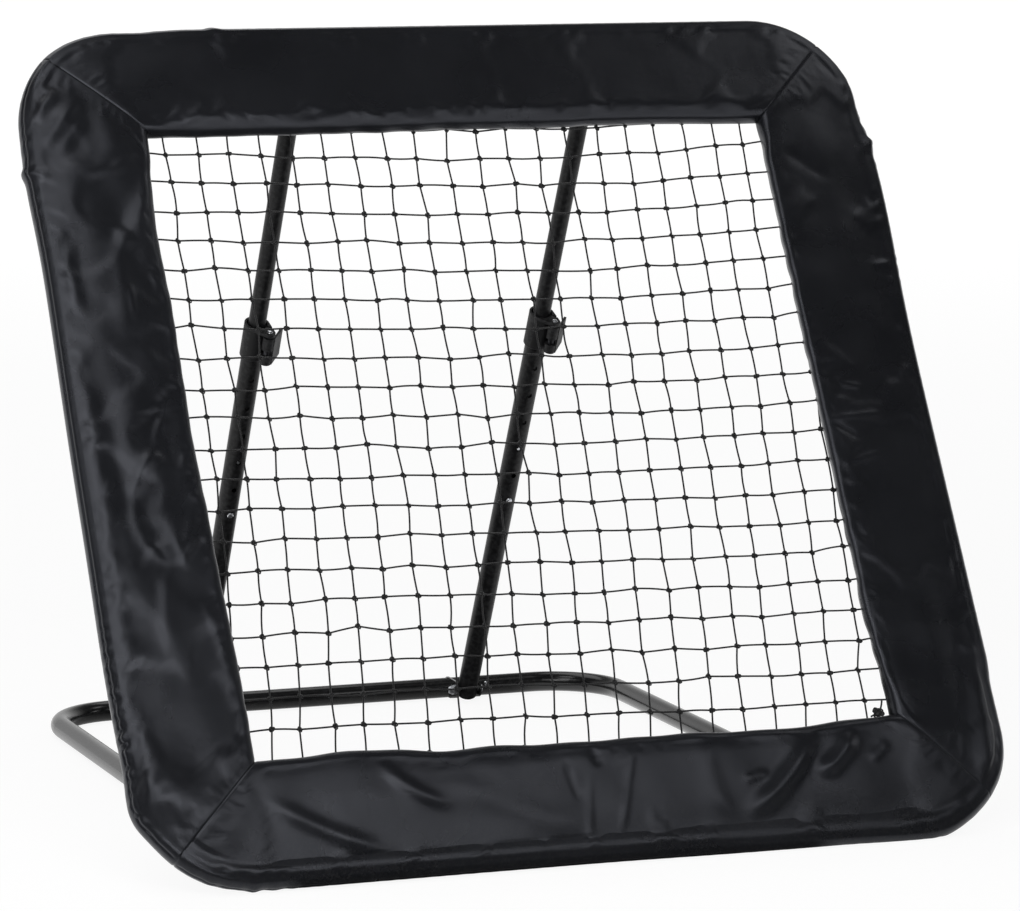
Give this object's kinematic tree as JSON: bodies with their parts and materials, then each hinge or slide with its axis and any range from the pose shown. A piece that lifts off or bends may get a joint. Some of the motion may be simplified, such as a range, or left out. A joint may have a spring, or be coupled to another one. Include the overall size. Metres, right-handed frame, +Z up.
{
  "type": "ball rebounder net",
  "caption": "Padded square net frame leaning back on a tubular floor base, held by two telescopic legs with clamp levers, to rebound thrown balls.",
  "frame": {"origin": "on the floor under the middle of the object's bounding box", "axes": "+X to the object's right along the net frame's bottom tube, +Y to the rear, +Z up; the net's face looks towards -Y and up"},
  "size_m": [1.216, 1.1321, 1.0435],
  "materials": {
    "cover_cloth": "satin black coated polyester",
    "foam": "open-cell foam",
    "net_cord": "twisted black cord",
    "elastic": "braided elastic",
    "frame_paint": "gloss black powder coat",
    "leg_paint": "satin black powder coat",
    "black_plastic": "moulded nylon",
    "zinc": "bright zinc plate",
    "spring_steel": "oiled spring steel",
    "black_steel": "black oxide"
  },
  "bodies": {
    "base": {"base_rear_tube": "frame_paint", "base_corner_tube_left": "frame_paint", "base_corner_tube_right": "frame_paint", "base_side_tube_left": "frame_paint", "base_side_tube_right": "frame_paint", "foot_bracket_left": "frame_paint", "foot_bracket_right": "frame_paint", "foot_bolts": "zinc", "foot_nuts": "zinc", "base_joint_screws": "black_steel", "base_button_spring_left": "spring_steel", "base_button_spring_right": "spring_steel"},
    "frame": {"frame_corner_tube_top_left": "frame_paint", "frame_corner_tube_top_right": "frame_paint", "frame_corner_tube_bottom_left": "frame_paint", "frame_corner_tube_bottom_right": "frame_paint", "frame_top_tube": "frame_paint", "frame_bottom_tube": "frame_paint", "frame_left_tube": "frame_paint", "frame_right_tube": "frame_paint", "frame_joint_screws": "black_steel", "top_bracket_left": "frame_paint", "top_bracket_right": "frame_paint", "top_pivot_bolts": "zinc", "top_pivot_nuts": "zinc", "net": "net_cord", "net_rope": "net_cord", "net_loops": "elastic", "net_tie": "net_cord", "cover_top": "cover_cloth", "cover_bottom": "cover_cloth", "cover_left": "cover_cloth", "cover_right": "cover_cloth", "foam_pads": "foam", "hem_elastic": "elastic"},
    "leg_lower_left": {"leg_lower_tube_left": "leg_paint", "leg_foot_cap_left": "black_plastic", "leg_bush_left": "black_plastic", "clamp_collar_left": "black_plastic", "clamp_pin_left": "zinc", "clamp_eye_bolt_left": "black_steel", "leg_stop_rivet_left": "zinc"},
    "clamp_lever_left": {"clamp_lever_left": "black_plastic"},
    "leg_upper_left": {"leg_upper_tube_left": "leg_paint", "leg_button_spring_left": "spring_steel"},
    "leg_button_left": {"leg_button_left": "zinc"},
    "base_button_left": {"base_button_left": "zinc"},
    "leg_lower_right": {"leg_lower_tube_right": "leg_paint", "leg_foot_cap_right": "black_plastic", "leg_bush_right": "black_plastic", "clamp_collar_right": "black_plastic", "clamp_pin_right": "zinc", "clamp_eye_bolt_right": "black_steel", "leg_stop_rivet_right": "zinc"},
    "clamp_lever_right": {"clamp_lever_right": "black_plastic"},
    "leg_upper_right": {"leg_upper_tube_right": "leg_paint", "leg_button_spring_right": "spring_steel"},
    "leg_button_right": {"leg_button_right": "zinc"},
    "base_button_right": {"base_button_right": "zinc"}
  },
  "joints": [
    {"name": "frame_tilt", "type": "hinge", "parent": "base", "child": "frame", "pos_m": [0, -0.5447, 0.0211], "axis": [1, 0, 0], "range_deg": [-2.82, 8.71]},
    {"name": "foot_pivot_left", "type": "hinge", "parent": "base", "child": "leg_lower_left", "pos_m": [-0.214, 0.5153, 0.018], "axis": [1, 0, 0], "range_deg": [-2.02, 5.2]},
    {"name": "leg_slide_left", "type": "slide", "parent": "leg_lower_left", "child": "leg_upper_left", "axis": [0, -0.4449, 0.8956], "range_m": [-0.0479, 0.1439]},
    {"name": "clamp_lever_left", "type": "hinge", "parent": "leg_lower_left", "child": "clamp_lever_left", "pos_m": [-0.20252, 0.20655, 0.58326], "axis": [0, -0.4449, 0.8956], "range_deg": [-110, 0]},
    {"name": "leg_button_left", "type": "slide", "parent": "leg_upper_left", "child": "leg_button_left", "axis": [0, -0.8956, -0.4449], "range_m": [-0.003, 0], "stiffness_N_per_m": 1000, "deforming": ["leg_button_spring_left"]},
    {"name": "base_button_left", "type": "slide", "parent": "base", "child": "base_button_left", "axis": [0, -0.9397, 0.342], "range_m": [-0.0035, 0], "stiffness_N_per_m": 1000, "deforming": ["base_button_spring_left"]},
    {"name": "foot_pivot_right", "type": "hinge", "parent": "base", "child": "leg_lower_right", "pos_m": [0.214, 0.5153, 0.018], "axis": [1, 0, 0], "range_deg": [-2.02, 5.2]},
    {"name": "leg_slide_right", "type": "slide", "parent": "leg_lower_right", "child": "leg_upper_right", "axis": [0, -0.4449, 0.8956], "range_m": [-0.0479, 0.1439]},
    {"name": "clamp_lever_right", "type": "hinge", "parent": "leg_lower_right", "child": "clamp_lever_right", "pos_m": [0.22548, 0.20655, 0.58326], "axis": [0, -0.4449, 0.8956], "range_deg": [-110, 0]},
    {"name": "leg_button_right", "type": "slide", "parent": "leg_upper_right", "child": "leg_button_right", "axis": [0, -0.8956, -0.4449], "range_m": [-0.003, 0], "stiffness_N_per_m": 1000, "deforming": ["leg_button_spring_right"]},
    {"name": "base_button_right", "type": "slide", "parent": "base", "child": "base_button_right", "axis": [0, -0.9397, 0.342], "range_m": [-0.0035, 0], "stiffness_N_per_m": 1000, "deforming": ["base_button_spring_right"]}
  ],
  "couplings": [
    {"joint": "foot_pivot_left", "follows": "frame_tilt", "ratio": 0.5391},
    {"joint": "leg_slide_left", "follows": "frame_tilt", "m_per_rad": 0.93328},
    {"joint": "foot_pivot_right", "follows": "frame_tilt", "ratio": 0.5391},
    {"joint": "leg_slide_right", "follows": "frame_tilt", "m_per_rad": 0.93328}
  ]
}
